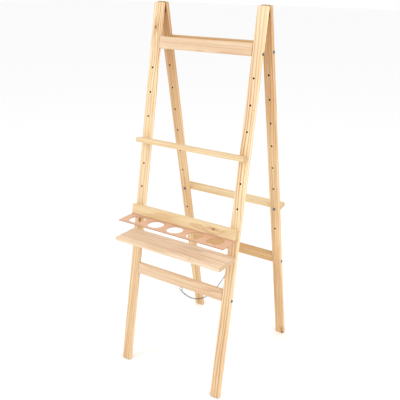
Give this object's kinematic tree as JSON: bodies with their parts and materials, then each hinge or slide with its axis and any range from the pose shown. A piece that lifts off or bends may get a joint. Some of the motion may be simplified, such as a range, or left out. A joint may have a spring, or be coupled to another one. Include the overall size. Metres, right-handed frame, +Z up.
{
  "type": "folding easel",
  "caption": "Free-standing folding pine easel: two hinged ladder frames with bolt-on picture ledges, a perforated cup plate, a shelf and a spreader chain.",
  "frame": {"origin": "on the floor, under the middle of the bounding box of the open easel", "axes": "+Z up, +X across the easel to the right of a person facing the front, -Y out of the front"},
  "size_m": [0.5036, 0.5964, 1.4798],
  "materials": {
    "pine": "unfinished planed pine",
    "hardboard": "smooth hardboard",
    "zinc_steel": "zinc plated",
    "chain_steel": "zinc plated"
  },
  "bodies": {
    "front_frame": {"front_leg_left": "pine", "front_leg_right": "pine", "front_top_rail": "pine", "front_lower_rail": "pine", "front_top_rail_screw_left": "zinc_steel", "front_top_rail_screw_right": "zinc_steel", "front_lower_rail_screw_left": "zinc_steel", "front_lower_rail_screw_right": "zinc_steel", "hinge_left_front_leaf": "zinc_steel", "hinge_left_pin": "zinc_steel", "hinge_left_front_screw_1": "zinc_steel", "hinge_left_front_screw_2": "zinc_steel", "board_screw_left": "zinc_steel", "shelf_screw_left": "zinc_steel", "plate_screw_left": "zinc_steel", "front_ledge_bolt_left": "zinc_steel", "hinge_right_front_leaf": "zinc_steel", "hinge_right_pin": "zinc_steel", "hinge_right_front_screw_1": "zinc_steel", "hinge_right_front_screw_2": "zinc_steel", "board_screw_right": "zinc_steel", "shelf_screw_right": "zinc_steel", "plate_screw_right": "zinc_steel", "front_ledge_bolt_right": "zinc_steel", "back_board": "pine", "cup_plate": "hardboard", "shelf": "pine", "chain_eye_front": "zinc_steel", "chain": "chain_steel"},
    "rear_frame": {"rear_leg_left": "pine", "rear_leg_right": "pine", "rear_top_rail": "pine", "rear_lower_rail": "pine", "rear_top_rail_screw_left": "zinc_steel", "rear_top_rail_screw_right": "zinc_steel", "rear_lower_rail_screw_left": "zinc_steel", "rear_lower_rail_screw_right": "zinc_steel", "hinge_left_rear_leaf": "zinc_steel", "hinge_left_rear_screw_1": "zinc_steel", "hinge_left_rear_screw_2": "zinc_steel", "hinge_right_rear_leaf": "zinc_steel", "hinge_right_rear_screw_1": "zinc_steel", "hinge_right_rear_screw_2": "zinc_steel", "chain_eye_rear": "zinc_steel"},
    "front_ledge": {"front_ledge": "pine", "front_ledge_insert_left": "zinc_steel", "front_ledge_insert_right": "zinc_steel"},
    "rear_ledge": {"rear_ledge": "pine", "rear_ledge_insert_left": "zinc_steel", "rear_ledge_insert_right": "zinc_steel", "rear_ledge_bolt_left": "zinc_steel", "rear_ledge_bolt_right": "zinc_steel"}
  },
  "joints": [
    {"name": "rear_fold", "type": "hinge", "parent": "front_frame", "child": "rear_frame", "pos_m": [0, 0.00529, 1.47705], "axis": [1, 0, 0], "range_deg": [-20, 4.5], "deforming": ["chain"]},
    {"name": "front_ledge_pull", "type": "slide", "parent": "front_frame", "child": "front_ledge", "axis": [0, -0.9833, 0.1822], "range_m": [0, 0.06]},
    {"name": "rear_ledge_height", "type": "slide", "parent": "rear_frame", "child": "rear_ledge", "axis": [0, -0.1822, 0.9833], "range_m": [0, 0.576]}
  ]
}
